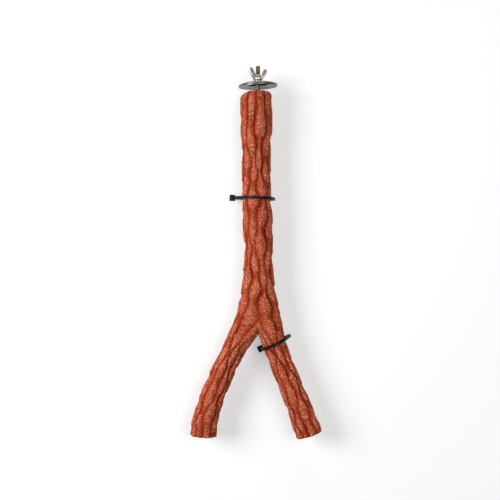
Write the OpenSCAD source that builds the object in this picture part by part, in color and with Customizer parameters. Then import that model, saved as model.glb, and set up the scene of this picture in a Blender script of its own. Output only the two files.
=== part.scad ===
// Fork-shaped bird perch of moulded bark, clamped to a cage wall by a stud, two dished washers and a wing nut.
// The stud points up along +Z. The origin is on the stud's axis, where it leaves the flat end of the branch.

/* [Branch] */
// Length from the flat end down to the tips of the legs
branch_len = 286.5; // [270:0.5:310]
// Depth of the crotch between the legs, from the flat end
crotch_depth = 200.5; // [190:0.5:208]
// Diameter of the stem over most of its length
stem_d = 24.6; // [20:0.5:28]
// Diameter of the leg just below the fork
leg_d = 19.4; // [16:0.2:22]
// Diameter of the legs at their cut ends
leg_end_d = 22.8; // [18:0.2:25]
// Distance from the stud's axis to the middle of the left leg's end
left_reach = 45.3; // [38:0.1:52]
// Distance from the stud's axis to the middle of the right leg's end
right_reach = 42.2; // [36:0.1:50]
// Width of the branch where it splits into its legs
fork_w = 38.6; // [34:0.2:42]
// Distance that the top of the stem stands off to the left of the stud
top_offset = 1.4; // [0:0.1:3]
// Height of the rounded shoulder at the top end
top_round = 7; // [3:0.5:7]
// Share by which that shoulder is wider on the left and narrower on the right
top_slant_share = 0.35; // [0:0.05:0.4]
// Radius of the edge at the ends of the legs
leg_round = 1.6; // [1:0.2:3]

/* [Bark relief] */
// Ridges counted once round the stem
ridge_count = 10; // [8:2:10]
// Length of one ridge along the branch, with the neck above it
ridge_len = 23; // [23:1:40]
// Depth of the grooves between the ridges
groove_depth = 1.9; // [0.8:0.1:2.4]
// Points of the surface across one ridge
ridge_points = 5; // [4:1:5]
// Rows of points along one ridge
ridge_rows = 6; // [4:1:6]

/* [Stud] */
// Thread's outside diameter
stud_d = 4; // [3.6:0.1:5]
// Length of stud that stands out of the branch
stud_out = 20.8; // [19:0.1:30]
// Length of stud cast into the branch
stud_in = 25; // [15:1:40]
// Width across the flats of the cast-in head
head_flats = 7; // [6:0.5:8]
// Height of the cast-in head
head_h = 2.8; // [2:0.1:4]
// Chamfer on the stud's free end
stud_chamfer = 0.5; // [0.2:0.1:0.8]

/* [Washers] */
// Outside diameter of each dished washer
washer_d = 32; // [28:0.5:38]
// Sheet thickness
washer_t = 0.8; // [0.6:0.1:1]
// Depth of the dish
dish_depth = 2.2; // [1.6:0.1:3.4]
// Diameter of the flat seat round the hole
seat_d = 13; // [9:0.5:18]
// Diameter of the washer's hole
washer_hole_d = 4.7; // [4.6:0.1:5.2]
// Gap between the rim of the inner washer and the branch's flat end
wire_gap = 3.5; // [3:0.1:6]
// Angle at which the loose washers hang on the stud, left side down
washer_tilt = 2.4; // [0:0.2:3]

/* [Wing nut] */
// Width over both wings
wing_span = 20; // [18:0.5:24]
// Height from the seat to the tips of the wings
wing_h = 11.3; // [10:0.1:13]
// Thickness of a wing at its rounded tip
wing_t = 2.2; // [1.6:0.1:2.6]
// Diameter of the hub at its widest
hub_d = 8; // [7.6:0.2:10]
// Height of the hub
hub_h = 5.2; // [4.8:0.1:6]
// Diameter of the neck under the hub
neck_d = 5.8; // [5.2:0.1:6]
// Height of the neck under the hub
neck_h = 1.2; // [0.6:0.1:1.6]
// Turn of the wings from the plane of the fork
wing_turn = 42; // [0:1:180]

/* [Ties] */
// Width of a tie's strap
strap_w = 2.5; // [2.2:0.1:3.6]
// Thickness of a tie's strap
strap_t = 1.1; // [0.9:0.1:1.4]
// Depth of the upper tie below the flat end
upper_tie_depth = 88.1; // [70:0.1:120]
// Distance of the upper tie's head from the middle of the stem
upper_tie_head = 20.4; // [19:0.2:26]
// Reach of the upper tie's strap to the right of the middle of the stem
upper_tie_reach = 15.4; // [14.6:0.2:18]
// Slope of the upper tie, head side up
upper_tie_slope = 1.8; // [0:0.2:4]
// Drop from the crotch to where the lower tie crosses the middle of the right leg
lower_tie_drop = 7.7; // [5:0.1:13]
// Distance of the lower tie's head from the middle of the leg
lower_tie_head = 12.4; // [12.4:0.1:16]
// Reach of the lower tie's strap to the right of the middle of the leg
lower_tie_reach = 15.2; // [13:0.1:18]
// Slope of the lower tie against a line square across the leg
lower_tie_skew = 6.3; // [0:0.1:10]

/* [Hidden] */
$fn = 64;
overrun = 1;
loose_gap = 0.3;
thread_clearance = 0.05;

// Stem: stations are [share of the crotch's depth, share of the stem's diameter].
stem_shares = [
    [0, 1.09], [0.17, 1.09], [0.21, 1.0], [0.28, 0.985], [0.38, 1.0], [0.45, 0.975], [0.52, 1.035],
    [0.58, 1.03], [0.64, 0.96], [0.68, 0.965], [0.74, 1.0], [0.8, 1.0], [1, 1.0]
];
// The flare runs from here to the split, where the width is the fork's own.
flare_shares = [[0.70, 0], [0.755, 0.09], [0.80, 0.24], [0.84, 0.42], [0.88, 0.62], [0.94, 1]];
// Sideways place of the stem's centre: [share of the crotch's depth, share of the top's offset].
lean_shares = [[0, -1], [0.38, -1], [0.47, -0.5], [0.55, -0.1], [0.64, 0.42], [0.72, 0.15], [0.94, 0.3]];
split_share = 0.937;
split_z = -crotch_depth * split_share;
split_thickness_share = 0.93;
split_thickness = stem_d * split_thickness_share;
split_dent_share = 0.15;
split_dent_width_share = 0.42;

function blend(w) = w * w * (3 - 2 * w);
function mix(a, b, w) = a + (b - a) * w;
function along(table, x, k = 0) =
    x <= table[0][0] ? table[0][1] :
    k >= len(table) - 1 ? table[len(table) - 1][1] :
    x <= table[k + 1][0] ?
        mix(table[k][1], table[k + 1][1], blend((x - table[k][0]) / (table[k + 1][0] - table[k][0]))) :
        along(table, x, k + 1);

// Bark: columns of staggered ridges, each rising from a point to a blunt lower end.
// Places on the net are a turn round the branch and a count of ridges down from the top.
// Each wave: [turns along one ridge, waves once round the branch, start angle].
ring_points = ridge_count * ridge_points;
depth_wave = [0.37, 3, 0];
sway_waves = [[0.29, 2, 0], [0.47, -3, 50]];
stretch_waves = [[0.21, 1, 20], [0.35, 4, 140]];
sway_shares = [0.24, 0.12];
stretch_shares = [0.1, 0.05];
swell_share = 0.11;
swell_start_share = 0.1;
shallow_share = 0.75;
neck_share = 0.36;
jitter_share = 0.1;
jitter_turn = 137;
dome_share = 0.75;
// Shares of a ridge over which it rises and falls, and in which its sides lag behind its middle.
rise_share = 0.34;
rise_lag_share = 0.25;
fall_share = 0.14;
fall_lag_share = 0.14;

function limit(a) = min(1, max(0, a));
function wave(v, turn, w) = sin(360 * v[0] * w + v[1] * turn + v[2]);
function waves(list, shares, turn, w) = shares * [for (v = list) wave(v, turn, w)];
function columns(turn) = ridge_count * turn / 360 + 1 / 2;
function bark(turn, w) =
    let (
        u = columns(turn),
        column = floor(u + 1 / 2),
        side = abs(u - column) * 2,
        phase = (column % 2) / 2 + jitter_share * sin(jitter_turn * (column % ridge_count)),
        place = w + phase - floor(w + phase),
        rise = blend(limit((place - rise_lag_share * side) / rise_share)),
        fall = blend(limit((1 - place - fall_lag_share * side * side) / fall_share)),
        height = pow(max(0, cos(90 * side)), dome_share) * mix(neck_share, 1, rise * fall)
    )
    -groove_depth * (1 - height) * mix(shallow_share, 1, (1 + wave(depth_wave, turn, w)) / 2);
// The net sways, and each ridge swells into its narrow neighbours, so that no two come out alike.
function warp_turn(turn, w) =
    (waves(sway_waves, sway_shares, turn, w)
        - swell_share * cos(360 * (w - swell_start_share)) * sin(180 * columns(turn)))
    * 360 / ridge_count;
function warp_along(turn, w) = waves(stretch_waves, stretch_shares, turn, w);

// Stem rings: [depth, inset of the rounded end, count of lozenges]. Lozenges are longer near the top.
round_steps = 5;
top_extra_share = 0.7;
top_fade_share = 1.1;
top_smooth_share = 0.6;
stem_run = -split_z - top_round;
stem_rings = round((stem_run / ridge_len - top_extra_share) * ridge_rows);
stem_cells = stem_rings / ridge_rows;
function run_share(w) = w + top_extra_share * (1 - exp(-w / top_fade_share));
stem_stations = concat(
    [for (j = [0 : round_steps - 1])
        let (q = 90 * j / round_steps, depth = top_round * (1 - cos(q)))
        [depth, top_round * (1 - sin(q)), (depth - top_round) / ridge_len]],
    [for (j = [0 : stem_rings])
        let (w = j / ridge_rows)
        [top_round + stem_run * run_share(w) / run_share(stem_cells), 0, w]]
);
// Share of the stem, before the split, in which the warp dies out at the middle of the front and back.
still_share = 0.16;
function still(share, turn) =
    mix(1 - blend(min(1, max(0, (share - split_share + still_share) / still_share))), 1, abs(sin(turn)));

function stem_point(station, i) =
    let (
        net_turn = 360 * i / ring_points,
        w = station[2],
        hold = blend(min(1, max(0, w))) * still(station[0] / crotch_depth, net_turn),
        turn = net_turn + hold * warp_turn(net_turn, w),
        depth = station[0] + hold * warp_along(net_turn, w) * ridge_len,
        share = depth / crotch_depth,
        flare = along(flare_shares, share),
        round_r = stem_d / 2 * along(stem_shares, share),
        half_w = mix(round_r, fork_w / 2, flare) - station[1] * (1 + top_slant_share * sin(turn)),
        half_t = mix(round_r, split_thickness / 2, flare) - station[1],
        cx = top_offset * along(lean_shares, share),
        dent = 1 - split_dent_share * flare * exp(-pow(sin(turn) / split_dent_width_share, 2)),
        fade = station[0] <= 0 ? 0 : 1 - top_smooth_share * station[1] / top_round,
        relief = fade * bark(net_turn, w)
    )
    [cx - (half_w + relief) * sin(turn), -(half_t * dent + relief) * cos(turn), -depth];

// Legs: each centre line is a cubic curve from the split to the middle of the cut end.
// The curve's two inner control points reach out by these shares of the leg's own reach, left and right.
control_reach_shares = [[0.49, 0.951], [0.344, 0.77]];
leg_start_share = 0.21;
leg_start_x = fork_w * leg_start_share;
// The middle of a cut end is higher than the corner that reaches the full length.
left_end_rise = 1.8;
right_end_rise = 2.6;
left_end_z = -branch_len + left_end_rise;
right_end_z = -branch_len + right_end_rise;
left_line = [
    [-leg_start_x, split_z],
    [-left_reach * control_reach_shares[0][0], mix(split_z, left_end_z, 1 / 3)],
    [-left_reach * control_reach_shares[0][1], mix(split_z, left_end_z, 2 / 3)],
    [-left_reach, left_end_z]
];
right_line = [
    [leg_start_x, split_z],
    [right_reach * control_reach_shares[1][0], mix(split_z, right_end_z, 1 / 3)],
    [right_reach * control_reach_shares[1][1], mix(split_z, right_end_z, 2 / 3)],
    [right_reach, right_end_z]
];
leg_shares = [[0, 0.02], [0.3, 0], [0.55, 0.3], [0.75, 0.42], [0.93, 0.95], [1, 1]];
join_share = 0.36;
leg_edge_share = 0.3;
leg_run = branch_len + split_z;
leg_length_share = 1.06;
leg_rings = round(leg_length_share * leg_run / ridge_len * ridge_rows);
leg_cells = leg_rings / ridge_rows;

function curve(p, w) =
    pow(1 - w, 3) * p[0] + 3 * w * pow(1 - w, 2) * p[1] + 3 * w * w * (1 - w) * p[2] + pow(w, 3) * p[3];
function slope(p, w) =
    3 * pow(1 - w, 2) * (p[1] - p[0]) + 6 * w * (1 - w) * (p[2] - p[1]) + 3 * w * w * (p[3] - p[2]);

// The arch of the crotch, from the front of the split ring to its back.
split_station = stem_stations[len(stem_stations) - 1];
front_point = stem_point(split_station, 0);
back_point = stem_point(split_station, ring_points / 2);
crotch_drop = crotch_depth + split_z;
function arch_point(k) =
    let (q = 360 * k / ring_points)
    [
        mix(front_point[0], back_point[0], k * 2 / ring_points),
        mix(front_point[1], back_point[1], (1 - cos(q)) / 2),
        split_z - crotch_drop * sin(q)
    ];

// First ring of a leg: its own half of the split ring, closed by the arch.
function split_ring(side) =
    [for (i = [0 : ring_points - 1])
        side < 0 ?
            (i <= ring_points / 2 ? stem_point(split_station, i) : arch_point(ring_points - i)) :
            (i == 0 || i >= ring_points / 2 ? stem_point(split_station, i) : arch_point(i))];

// Shares of the leg in which the warp comes back below the crotch and dies out at the cut end.
wake_share = 0.3;
end_share = 0.15;
function leg_ring(line, side, first, t, inset) =
    let (
        join = sin(90 * min(1, t / join_share)),
        wake = blend(min(1, t / wake_share)),
        rest = blend(min(1, (1 - t) / end_share)),
        move = curve(line, t) - line[0]
    )
    [for (i = [0 : ring_points - 1])
        let (
            net_turn = 360 * i / ring_points,
            own = side < 0 ? net_turn <= 180 : net_turn == 0 || net_turn >= 180,
            w = stem_cells + t * leg_cells,
            hold = rest * (own ? mix(wake, 1, abs(sin(net_turn))) : wake),
            turn = net_turn + hold * warp_turn(net_turn, w),
            s = t + hold * warp_along(net_turn, w) / leg_cells,
            mid = curve(line, s),
            dir = slope(line, s) / norm(slope(line, s)),
            fade = own ? 1 : mix(1 - abs(sin(net_turn)), 1, join),
            r = mix(leg_d, leg_end_d, along(leg_shares, s)) / 2 - inset + fade * bark(net_turn, w),
            circle = [mid[0] + r * sin(turn) * dir[1], -r * cos(turn), mid[1] - r * sin(turn) * dir[0]]
        )
        mix(first[i] + [move[0], 0, move[1]], circle, join)];

function leg_rings_of(line, side) =
    let (first = split_ring(side))
    concat(
        [for (j = [1 : leg_rings])
            leg_ring(line, side, first, mix(0, 1 - leg_round / leg_run, j / leg_rings), 0)],
        [leg_ring(line, side, first, 1 - leg_edge_share * leg_round / leg_run, leg_edge_share * leg_round)],
        [leg_ring(line, side, first, 1, leg_round)]
    );

// Each four-cornered cell is cut along the diagonal that runs with its deeper groove.
function band(upper, lower, w) =
    [for (i = [0 : ring_points - 1])
        let (
            n = (i + 1) % ring_points,
            turn = 360 * i / ring_points,
            next_turn = 360 * (i + 1) / ring_points,
            next_w = w + 1 / ridge_rows,
            falling = bark(turn, w) + bark(next_turn, next_w),
            rising = bark(next_turn, w) + bark(turn, next_w)
        )
        each falling < rising ?
            [[upper[n], upper[i], lower[n]], [upper[i], lower[i], lower[n]]] :
            [[upper[n], upper[i], lower[i]], [upper[n], lower[i], lower[n]]]];
function ring_at(start) = [for (i = [0 : ring_points - 1]) start + i];
function mean(points) = [for (a = [0 : 2]) [for (p = points) p[a]] * [for (p = points) 1] / len(points)];

module branch_skin() {
    stem = [for (s = stem_stations) [for (i = [0 : ring_points - 1]) stem_point(s, i)]];
    left = leg_rings_of(left_line, -1);
    right = leg_rings_of(right_line, 1);
    arch = [for (k = [1 : ring_points / 2 - 1]) arch_point(k)];
    stem_n = len(stem) * ring_points;
    arch_n = len(arch);
    leg_n = len(left) * ring_points;
    left_start = stem_n + arch_n;
    right_start = left_start + leg_n;
    last = stem_n - ring_points;
    top_mid = right_start + leg_n;
    points = concat(
        [for (r = stem) each r],
        arch,
        [for (r = left) each r],
        [for (r = right) each r],
        [[mean(stem[0])[0], 0, 0], mean(left[len(left) - 1]), mean(right[len(right) - 1])]
    );
    left_first = [for (i = [0 : ring_points - 1])
        i <= ring_points / 2 ? last + i : stem_n + ring_points - i - 1];
    right_first = [for (i = [0 : ring_points - 1])
        i == 0 || i >= ring_points / 2 ? last + i : stem_n + i - 1];
    faces = concat(
        [for (i = [0 : ring_points - 1]) [top_mid, i, (i + 1) % ring_points]],
        [for (k = [0 : len(stem) - 2])
            each band(ring_at(k * ring_points), ring_at((k + 1) * ring_points), stem_stations[k][2])],
        band(left_first, ring_at(left_start), stem_cells),
        band(right_first, ring_at(right_start), stem_cells),
        [for (k = [0 : len(left) - 2])
            each band(
                ring_at(left_start + k * ring_points),
                ring_at(left_start + (k + 1) * ring_points),
                stem_cells + (k + 1) / ridge_rows
            )],
        [for (k = [0 : len(right) - 2])
            each band(
                ring_at(right_start + k * ring_points),
                ring_at(right_start + (k + 1) * ring_points),
                stem_cells + (k + 1) / ridge_rows
            )],
        [for (i = [0 : ring_points - 1])
            [top_mid + 1, right_start - ring_points + (i + 1) % ring_points, right_start - ring_points + i]],
        [for (i = [0 : ring_points - 1])
            [top_mid + 2, top_mid - ring_points + (i + 1) % ring_points, top_mid - ring_points + i]]
    );
    polyhedron(points = points, faces = faces, convexity = 6);
}

module hex_head(h) {
    rotate([0, 0, wing_turn])
        cylinder(d = head_flats / cos(30), h = h, $fn = 6);
}

module branch() {
    color("#a85542")
        difference() {
            branch_skin();
            translate([0, 0, -stud_in])
                cylinder(d = stud_d, h = stud_in + overrun);
            translate([0, 0, -stud_in - head_h])
                hex_head(head_h);
        }
}

module stud_bolt() {
    color("#c9ccd0") {
        translate([0, 0, -stud_in - head_h])
            hex_head(head_h);
        translate([0, 0, -stud_in])
            cylinder(d = stud_d, h = stud_in + stud_out - stud_chamfer);
        translate([0, 0, stud_out - stud_chamfer])
            cylinder(d1 = stud_d, d2 = stud_d - 2 * stud_chamfer, h = stud_chamfer);
    }
}

// Dished washer: a flat seat round the hole, then a crown that falls ever steeper to the rim.
dish_steps = 9;
function dish_z(r) = dish_depth * (1 - pow((r - seat_d / 2) / (washer_d / 2 - seat_d / 2), 2));
dish_line = concat(
    [[washer_hole_d / 2, dish_depth]],
    [for (j = [0 : dish_steps]) let (r = mix(seat_d, washer_d, j / dish_steps) / 2) [r, dish_z(r)]]
);
nest_step = washer_t + loose_gap;
inner_rim_z = wire_gap;
outer_rim_z = inner_rim_z + nest_step;
nut_seat_z = outer_rim_z + dish_depth + washer_t + loose_gap;

module dished_washer(rim_z) {
    seat_z = rim_z + dish_depth;
    translate([0, 0, seat_z])
        rotate([0, -washer_tilt, 0])
            translate([0, 0, -dish_depth])
                rotate_extrude()
                    polygon(concat(
                        dish_line,
                        [for (j = [len(dish_line) - 1 : -1 : 0]) dish_line[j] + [0, washer_t]]
                    ));
}

module inner_washer() {
    color("#a9abad")
        dished_washer(inner_rim_z);
}

module outer_washer() {
    color("#b9bbbd")
        dished_washer(outer_rim_z);
}

// Wing nut: places are shares of the half span and of the height over the neck, on one wing.
root_place_shares = [0.3, 0.25];
waist_place_shares = [0.52, 0.4];
tip_place_shares = [0.79, 0.795];
waist_round_share = 0.97;
root_round_share = 1.2;
root_thick_share = 1.5;
wing_rise = wing_h - neck_h;
tip_r = wing_rise * (1 - tip_place_shares[1]);
waist_r = tip_r * waist_round_share;
root_r = tip_r * root_round_share;
root_t = wing_t * root_thick_share;
waist_t = (root_t + wing_t) / 2;

function wing_place(shares) = [wing_span / 2 * shares[0], 0, neck_h + wing_rise * shares[1]];

module wing_disc(place, r, t) {
    translate(wing_place(place))
        rotate([90, 0, 0])
            cylinder(r = r, h = t, center = true, $fn = 32);
}

module wing() {
    hull() {
        wing_disc(root_place_shares, root_r, root_t);
        wing_disc(waist_place_shares, waist_r, waist_t);
    }
    hull() {
        wing_disc(waist_place_shares, waist_r, waist_t);
        wing_disc(tip_place_shares, tip_r, wing_t);
    }
}

hub_top_share = 0.86;
hub_foot_share = 0.2;
hub_edge_share = 0.14;
hub_top_d = hub_d * hub_top_share;
hub_foot_h = hub_h * hub_foot_share;
hub_edge = hub_h * hub_edge_share;

module hub() {
    rotate_extrude()
        polygon([
            [0, 0], [neck_d / 2, 0], [neck_d / 2, neck_h], [hub_d / 2 - hub_edge, neck_h],
            [hub_d / 2, neck_h + hub_edge], [hub_d / 2, neck_h + hub_foot_h + hub_edge],
            [hub_top_d / 2, hub_h - hub_edge], [hub_top_d / 2 - hub_edge, hub_h], [0, hub_h]
        ]);
}

module wing_nut() {
    color("#d6d8da")
        translate([0, 0, nut_seat_z])
            rotate([0, 0, wing_turn])
                difference() {
                    union() {
                        hub();
                        wing();
                        rotate([0, 0, 180])
                            wing();
                    }
                    translate([0, 0, -overrun])
                        cylinder(d = stud_d + 2 * thread_clearance, h = wing_h + 2 * overrun);
                }
}

// Ties: a strap drawn over the front of the branch and straight back at its right,
// along a run close behind it and into a head that stands off at its left.
head_width_share = 1.9;
head_height_share = 2.05;
head_thick_share = 3;
tail_length_share = 2.4;
tail_width_share = 0.86;
corner_round_share = 1.1;
tie_head_w = strap_w * head_width_share;
tie_head_h = strap_w * head_height_share;
tie_head_t = strap_t * head_thick_share;
tie_head_round = strap_t / 2;
tie_tail = strap_t * tail_length_share;
tie_corner_r = strap_t * corner_round_share;

module tie(girth_r, head_x, right_x) {
    back_y = girth_r + strap_t;
    module corner(x, y, r, grow) {
        translate([x, y])
            circle(r = r + grow, $fn = 32);
    }
    module loop(grow) {
        hull() {
            circle(r = girth_r + grow, $fn = 72);
            corner(right_x - strap_t - tie_corner_r, girth_r - tie_corner_r, tie_corner_r, grow);
            corner(head_x + tie_head_w / 2, girth_r - tie_corner_r, tie_corner_r, grow);
        }
    }
    linear_extrude(height = strap_w, center = true)
        difference() {
            loop(strap_t);
            loop(0);
        }
    linear_extrude(height = tie_head_h, center = true)
        hull()
            for (x = [-1, 1], y = [0, 1])
                translate([
                    head_x + x * (tie_head_w / 2 - tie_head_round),
                    back_y - tie_head_round - y * (tie_head_t - 2 * tie_head_round)
                ])
                    circle(r = tie_head_round, $fn = 16);
    translate([head_x, back_y - tie_head_t, 0])
        rotate([90, 0, 0])
            linear_extrude(height = tie_tail, center = true)
                square([strap_t, strap_w * tail_width_share], center = true);
}

upper_tie_share = upper_tie_depth / crotch_depth;
upper_tie_x = top_offset * along(lean_shares, upper_tie_share);
upper_tie_r = stem_d / 2 * along(stem_shares, upper_tie_share) + loose_gap;
// Just under the crotch the leg is still a little wider than its own round.
lower_tie_ease = 0.5;
lower_tie_r = leg_d / 2 + lower_tie_ease + loose_gap;

function curve_share_at(p, depth, lo = 0, hi = 1, steps = 20) =
    let (w = (lo + hi) / 2)
    steps == 0 ? w :
    -curve(p, w)[1] > depth ?
        curve_share_at(p, depth, lo, w, steps - 1) :
        curve_share_at(p, depth, w, hi, steps - 1);
lower_tie_depth = crotch_depth + lower_tie_drop;
lower_tie_at = curve_share_at(right_line, lower_tie_depth);
lower_tie_x = curve(right_line, lower_tie_at)[0];
lower_tie_way = slope(right_line, lower_tie_at);
lower_tie_slope = atan2(lower_tie_way[0], -lower_tie_way[1]) + lower_tie_skew;

module upper_tie() {
    color("#17181a")
        translate([upper_tie_x, 0, -upper_tie_depth])
            rotate([0, upper_tie_slope, 0])
                tie(upper_tie_r, -upper_tie_head, upper_tie_reach);
}

module lower_tie() {
    color("#17181a")
        translate([lower_tie_x, 0, -lower_tie_depth])
            rotate([0, -lower_tie_slope, 0])
                tie(lower_tie_r, -lower_tie_head, lower_tie_reach);
}

branch();
stud_bolt();
inner_washer();
outer_washer();
wing_nut();
upper_tie();
lower_tie();
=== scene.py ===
"""Forked bark perch with its cage clamp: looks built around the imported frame.

The stud points up along +Z and the fork hangs below it. Sizes of pieces are written in millimetres
and turned into metres where a mesh is made. Sizes in materials and node trees are in metres.
"""
import math
from contextlib import contextmanager

import bmesh
import bpy
import numpy as np
from mathutils import Matrix, Vector


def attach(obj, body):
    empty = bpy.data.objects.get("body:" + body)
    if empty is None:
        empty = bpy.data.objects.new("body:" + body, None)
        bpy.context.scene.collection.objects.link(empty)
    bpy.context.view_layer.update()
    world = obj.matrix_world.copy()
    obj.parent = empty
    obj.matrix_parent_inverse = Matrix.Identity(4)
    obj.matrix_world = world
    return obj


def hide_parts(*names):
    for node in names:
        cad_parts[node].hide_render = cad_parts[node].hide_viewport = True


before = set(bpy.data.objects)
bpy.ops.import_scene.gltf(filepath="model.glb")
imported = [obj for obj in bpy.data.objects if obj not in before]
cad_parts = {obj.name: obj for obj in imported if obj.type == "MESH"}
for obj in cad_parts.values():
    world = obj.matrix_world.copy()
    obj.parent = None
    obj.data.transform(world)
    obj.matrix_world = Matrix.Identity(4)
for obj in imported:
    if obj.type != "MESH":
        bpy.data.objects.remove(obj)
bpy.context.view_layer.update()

MM = 0.001
TAU = 2 * math.pi


# ---- small helpers -------------------------------------------------------------------------

class Tree:
    """Short words for placing and wiring nodes in one node tree."""

    def __init__(self, tree):
        self.tree = tree

    def add(self, kind, values=None, **settings):
        node = self.tree.nodes.new(kind)
        for key, value in settings.items():
            setattr(node, key, value)
        for key, value in (values or {}).items():
            self.feed(value, node.inputs[key])
        return node

    def feed(self, value, socket):
        if isinstance(value, bpy.types.NodeSocket):
            self.tree.links.new(value, socket)
        else:
            socket.default_value = value

    def math(self, operation, *values):
        node = self.add("ShaderNodeMath", operation=operation)
        for socket, value in zip(node.inputs, values):
            self.feed(value, socket)
        return node.outputs[0]

    def plus(self, first, second):
        return self.math("ADD", first, second)

    def minus(self, first, second):
        return self.math("SUBTRACT", first, second)

    def times(self, first, second):
        return self.math("MULTIPLY", first, second)

    def one_over(self, value):
        return self.math("DIVIDE", 1.0, value)

    def mix(self, low, high, share):
        """low where share is 0, high where it is 1."""
        return self.plus(self.times(self.minus(high, low), share), low)

    def span(self, value, low, high, to_low=0.0, to_high=1.0, smooth=False):
        """Carries a value from one range over to another and holds it at the ends."""
        node = self.add("ShaderNodeMapRange", {
            "Value": value, "From Min": low, "From Max": high, "To Min": to_low, "To Max": to_high,
        })
        if smooth:
            node.interpolation_type = "SMOOTHSTEP"
        return node.outputs[0]

    def blend(self, first, second, share):
        """Colour between two; a mix node's colours are found by place, because its names repeat."""
        node = self.add("ShaderNodeMix", data_type="RGBA", blend_type="MIX")
        for place, value in ((0, share), (6, first), (7, second)):
            self.feed(value, node.inputs[place])
        return node.outputs[2]

    def ramp(self, value, stops):
        """Colour of a value between written colours; the first stands at 0 and the last at 1."""
        node = self.add("ShaderNodeValToRGB", {"Fac": value})
        marks = node.color_ramp.elements
        for place, code in stops:
            mark = marks[0] if place == 0 else marks[-1] if place == 1 else marks.new(place)
            mark.position = place
            mark.color = colour(code)
        return node.outputs[0]

    def noise(self, place, scale, detail, roughness):
        return self.add("ShaderNodeTexNoise", {
            "Vector": place, "Scale": scale, "Detail": detail, "Roughness": roughness}).outputs[0]

    def stretched(self, place, factors):
        return self.add("ShaderNodeVectorMath", {0: place, 1: factors}, operation="MULTIPLY").outputs[0]

    def painted(self, name):
        """Value that the mesh keeps for each point, read in a material."""
        return self.add("ShaderNodeAttribute", attribute_name=name).outputs["Fac"]

    def kept(self, name, kind="FLOAT"):
        """The same, read in a geometry tree."""
        return self.add("GeometryNodeInputNamedAttribute", {"Name": name}, data_type=kind).outputs[0]

    def keep(self, geometry, name, value):
        """Geometry that keeps the value for each point under that name."""
        return self.add("GeometryNodeStoreNamedAttribute", {
            "Geometry": geometry, "Name": name, "Value": value}, data_type="FLOAT", domain="POINT").outputs[0]

    def real(self, geometry):
        return self.add("GeometryNodeRealizeInstances", {0: geometry}).outputs[0]

    def hand_out(self, geometry, given, out):
        """Gives the geometry its material and sends it out of the tree."""
        dressed = self.add("GeometryNodeSetMaterial", {0: geometry, "Material": given["Finish"]})
        self.feed(dressed.outputs[0], out["Geometry"])


def colour(code):
    """Linear colour of a written sRGB colour."""
    parts = [int(code[k:k + 2], 16) / 255 for k in (1, 3, 5)]
    return [p / 12.92 if p <= 0.04045 else ((p + 0.055) / 1.055) ** 2.4 for p in parts] + [1.0]


def link(name, data):
    """A new object in the scene that holds the mesh, lamp or camera."""
    piece = bpy.data.objects.new(name, data)
    bpy.context.collection.objects.link(piece)
    return piece


def make_piece(name, points, faces, smooth=True):
    """A new object from points in millimetres."""
    mesh = bpy.data.meshes.new(name)
    mesh.from_pydata([[c * MM for c in p] for p in points], [], faces)
    mesh.polygons.foreach_set("use_smooth", [smooth] * len(mesh.polygons))
    mesh.update()
    return link(name, mesh)


def tube_faces(rings, count, closed):
    """Faces between neighbouring rings of that many points; a closed tube joins its ends."""
    faces = []
    for k in range(rings if closed else rings - 1):
        n = (k + 1) % rings
        for i in range(count):
            j = (i + 1) % count
            faces.append((k * count + i, k * count + j, n * count + j, n * count + i))
    return faces


def finished(piece, name):
    """A plain mesh object that holds what the piece's modifiers make; the piece itself goes."""
    bpy.context.view_layer.update()
    graph = bpy.context.evaluated_depsgraph_get()
    mesh = bpy.data.meshes.new_from_object(
        piece.evaluated_get(graph), preserve_all_data_layers=True, depsgraph=graph)
    bpy.data.objects.remove(piece)
    mesh.name = name
    return link(name, mesh)


@contextmanager
def edited(mesh):
    """The mesh open for editing; it is written back at the end."""
    bm = bmesh.new()
    bm.from_mesh(mesh)
    yield bm
    bm.to_mesh(mesh)
    bm.free()


def face_out(piece):
    with edited(piece.data) as bm:
        bmesh.ops.remove_doubles(bm, verts=bm.verts, dist=1e-7)
        bmesh.ops.recalc_face_normals(bm, faces=bm.faces)


def cut_away(piece, name, cutter):
    modifier = piece.modifiers.new(name, "BOOLEAN")
    modifier.operation = "DIFFERENCE"
    modifier.solver = "EXACT"
    modifier.object = cutter


def keep_values(piece, name, values):
    """Stores one number for each point of the piece's mesh."""
    layer = piece.data.attributes.new(name, "FLOAT", "POINT")
    layer.data.foreach_set("value", np.array(values, dtype=np.float32))


def place_mesh(piece, matrix):
    piece.data.transform(matrix)
    piece.data.update()


def grow(piece, tree, finish):
    """Puts a geometry tree on the piece, with its inputs as they stand and the material that it sets."""
    modifier = piece.modifiers.new(tree.name, "NODES")
    modifier.node_group = tree
    modifier[tree.interface.items_tree["Finish"].identifier] = finish


def new_tree(kind, name, inputs, outputs):
    """An empty node group with named inputs and outputs, its words and its two ends."""
    tree = bpy.data.node_groups.new(name, kind + "NodeTree")
    for label, shape, value in inputs:
        socket = tree.interface.new_socket(label, in_out="INPUT", socket_type="NodeSocket" + shape)
        if value is not None:
            socket.default_value = value
    for label, shape in outputs:
        tree.interface.new_socket(label, in_out="OUTPUT", socket_type="NodeSocket" + shape)
    t = Tree(tree)
    return tree, t, t.add("NodeGroupInput").outputs, t.add("NodeGroupOutput").inputs


def new_geometry_tree(name, inputs):
    """The same for a modifier; Finish is the material that it sets."""
    inputs = [("Geometry", "Geometry", None), *inputs, ("Finish", "Material", None)]
    return new_tree("Geometry", name, inputs, [("Geometry", "Geometry")])


# ---- materials -----------------------------------------------------------------------------

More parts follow.
